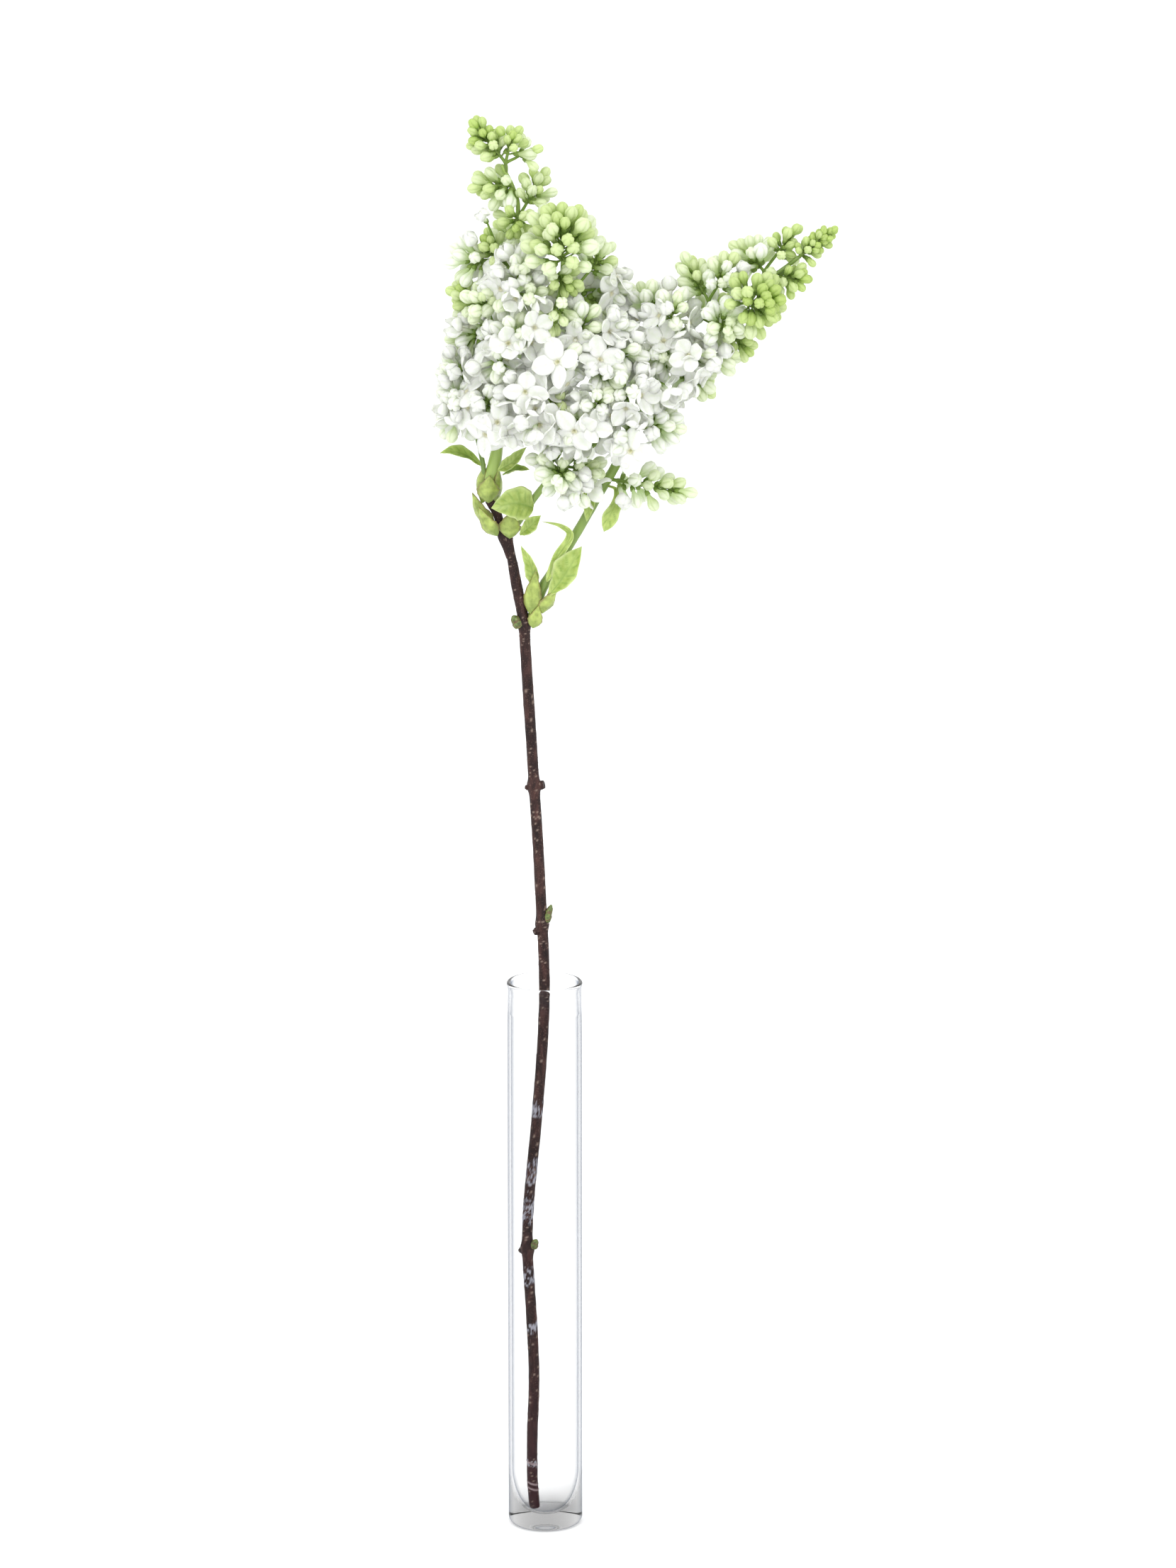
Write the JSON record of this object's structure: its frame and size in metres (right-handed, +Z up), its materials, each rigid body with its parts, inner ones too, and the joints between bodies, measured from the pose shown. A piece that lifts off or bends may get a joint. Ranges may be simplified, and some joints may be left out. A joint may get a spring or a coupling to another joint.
{
  "type": "lilac branch in a vase",
  "caption": "Cut branch of white lilac with three flower heads, part in bud and part open, standing in a tall narrow cylinder vase of clear glass",
  "frame": {"origin": "middle of the vase's flat underside, on its axis", "axes": "+Z is up along the vase, +X to the right of the front view, towards the longer slanting flower head, +Y to the back"},
  "size_m": [0.2105, 0.0901, 0.7644],
  "materials": {
    "glass": "clear soda glass, smooth, fire-polished rim, grey tint at the edges",
    "bark": "dark purple-brown bark, satin, with pale lenticels and silvery flakes",
    "green_shoot": "smooth green bark of this year's shoots, satin",
    "winter_bud": "closed winter bud, green with brown edges, satin",
    "bud_scale": "fleshy yellow-green scale with a brown rim, satin",
    "leaf": "young leaf, light green with paler veins, satin",
    "white_petals": "thick waxy white petals with a green tint in the folds, matte and translucent",
    "green_petals": "closed pale green flower buds, matte and translucent"
  },
  "bodies": {
    "root": {"glass_vase": "glass", "woody_stem": "bark", "left_shoot": "green_shoot", "left_side_shoot": "green_shoot", "front_shoot": "green_shoot", "middle_shoot": "green_shoot", "right_shoot": "green_shoot", "lower_bud": "winter_bud", "rim_bud": "winter_bud", "fork_bud": "winter_bud", "left_collar_scale_1": "bud_scale", "left_collar_scale_2": "bud_scale", "left_collar_scale_3": "bud_scale", "left_bud_scale_1": "bud_scale", "left_bud_scale_2": "bud_scale", "middle_scale": "bud_scale", "right_base_scale": "bud_scale", "right_front_scale": "bud_scale", "right_mid_scale": "bud_scale", "left_far_leaf": "leaf", "left_inner_leaf": "leaf", "left_low_leaf": "leaf", "middle_front_leaf": "leaf", "middle_side_leaf": "leaf", "right_slim_leaf": "leaf", "right_folded_leaf": "leaf", "right_wing_leaf": "leaf", "right_drooping_leaf": "leaf", "right_hanging_leaf": "leaf", "left_tip_flowers": "green_petals", "left_upper_left_flowers": "white_petals", "left_upper_right_flowers": "green_petals", "left_shoulder_flowers": "white_petals", "left_upper_front_flowers": "white_petals", "left_flank_flowers": "white_petals", "left_front_mid_flowers": "white_petals", "left_back_high_flowers": "white_petals", "left_back_low_flowers": "white_petals", "left_outer_low_flowers": "white_petals", "left_front_low_flowers": "white_petals", "front_tip_flowers": "green_petals", "front_upper_right_flowers": "white_petals", "front_right_flowers": "white_petals", "front_low_flowers": "white_petals", "front_back_flowers": "white_petals", "middle_low_flowers": "white_petals", "middle_front_flowers": "white_petals", "middle_tip_flowers": "white_petals", "middle_back_flowers": "white_petals", "right_tip_flowers": "green_petals", "right_upper_flowers": "white_petals", "right_under_flowers": "green_petals", "right_front_green_flowers": "green_petals", "right_upper_mid_flowers": "white_petals", "right_under_mid_flowers": "white_petals", "right_shoulder_flowers": "white_petals", "right_front_low_flowers": "white_petals", "right_back_flowers": "white_petals", "right_low_raceme_flowers": "white_petals"}
  },
  "joints": []
}
